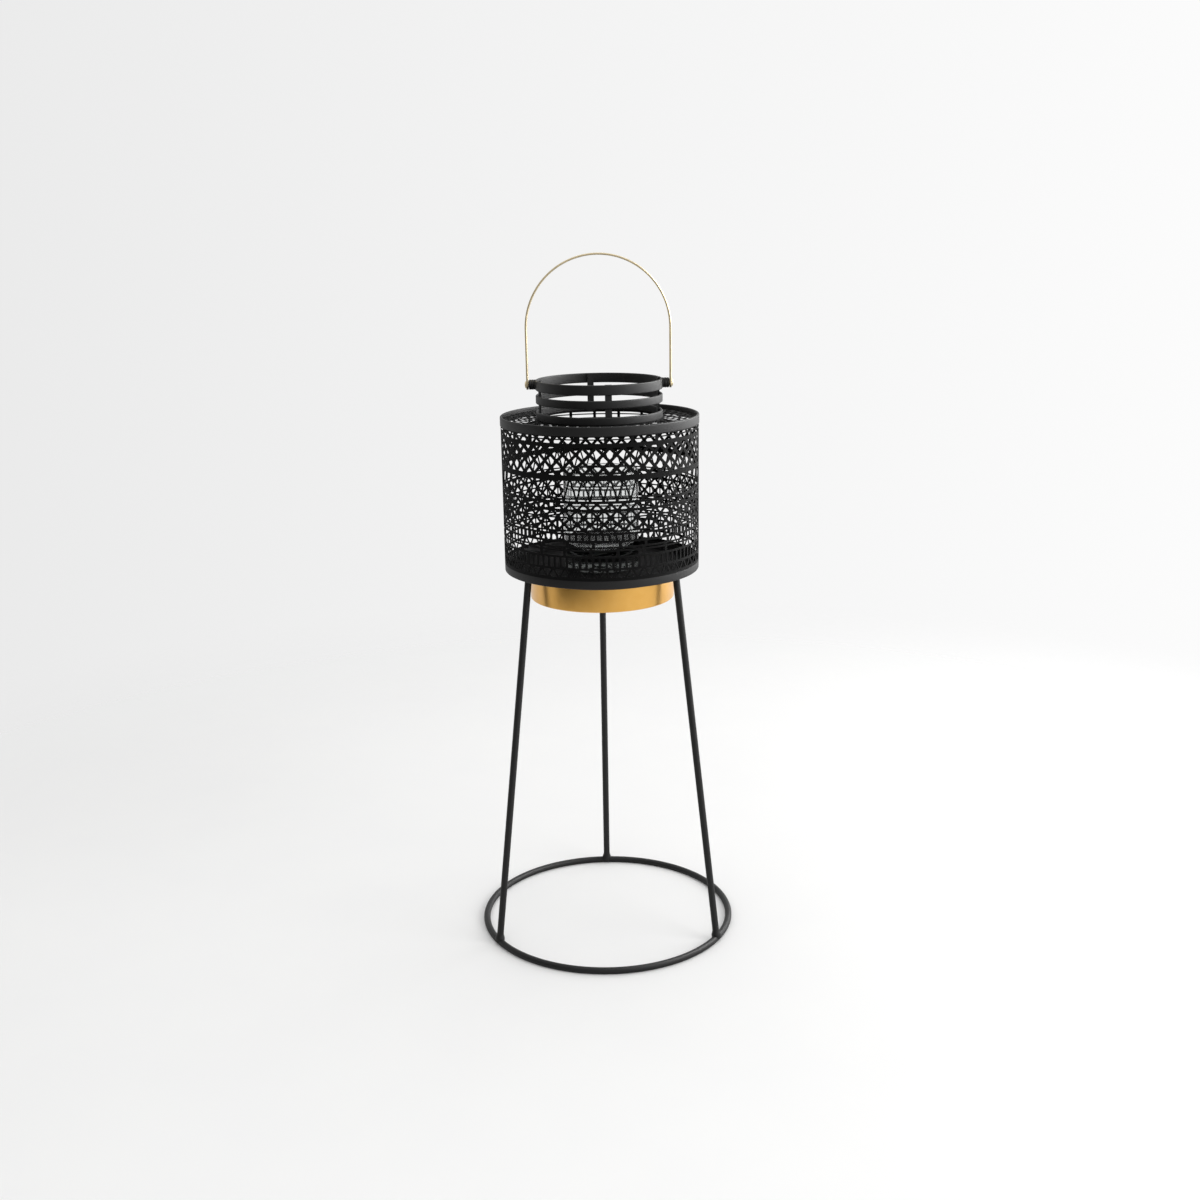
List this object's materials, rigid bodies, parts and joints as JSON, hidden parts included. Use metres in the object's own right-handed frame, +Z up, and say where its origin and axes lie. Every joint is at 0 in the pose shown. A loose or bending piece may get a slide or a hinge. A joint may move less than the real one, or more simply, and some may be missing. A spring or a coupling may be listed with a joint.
{
  "type": "candle lantern on floor stand",
  "caption": "Round pierced-metal candle lantern with a clear glass cup, swing bail and gold foot, nested in a wire floor stand with leaning legs and a floor ring.",
  "frame": {"origin": "on the floor, on the axis of the stand, under the middle of the floor ring", "axes": "+Z up along the axis; +X along the bail's pivot axis; the single rear leg stands at +Y, and the picture looks from -Y"},
  "size_m": [0.271, 0.271, 0.7063],
  "materials": {
    "black_steel": "satin black powder coat",
    "gold_steel": "satin gold plated sheet",
    "pale_gold_steel": "satin pale gold strip",
    "clear_glass": "clear"
  },
  "bodies": {
    "stand": {"floor_ring": "black_steel", "leg_back": "black_steel", "leg_left": "black_steel", "leg_right": "black_steel", "seat_ring": "black_steel"},
    "lantern": {"floor_plate": "black_steel", "bottom_hoop": "black_steel", "foot_band": "gold_steel", "drum_shade": "black_steel", "top_hoop": "black_steel", "top_plate": "black_steel", "neck_lower_ring": "black_steel", "neck_middle_ring": "black_steel", "neck_upper_ring": "black_steel", "neck_upright_front": "black_steel", "neck_upright_back": "black_steel", "neck_upright_left": "black_steel", "neck_upright_right": "black_steel", "bail_lug_left": "black_steel", "bail_lug_right": "black_steel", "bail_rivets": "gold_steel"},
    "glass": {"candle_glass": "clear_glass"},
    "bail": {"bail_handle": "pale_gold_steel"}
  },
  "joints": [
    {"name": "lantern_lift", "type": "slide", "parent": "stand", "child": "lantern", "axis": [0, 0, 1], "range_m": [0, 0.045]},
    {"name": "glass_lift", "type": "slide", "parent": "lantern", "child": "glass", "axis": [0, 0, 1], "range_m": [0, 0.195]},
    {"name": "bail_swing", "type": "hinge", "parent": "lantern", "child": "bail", "pos_m": [0, 0, 0.5793], "axis": [1, 0, 0], "range_deg": [-108, 108]}
  ]
}
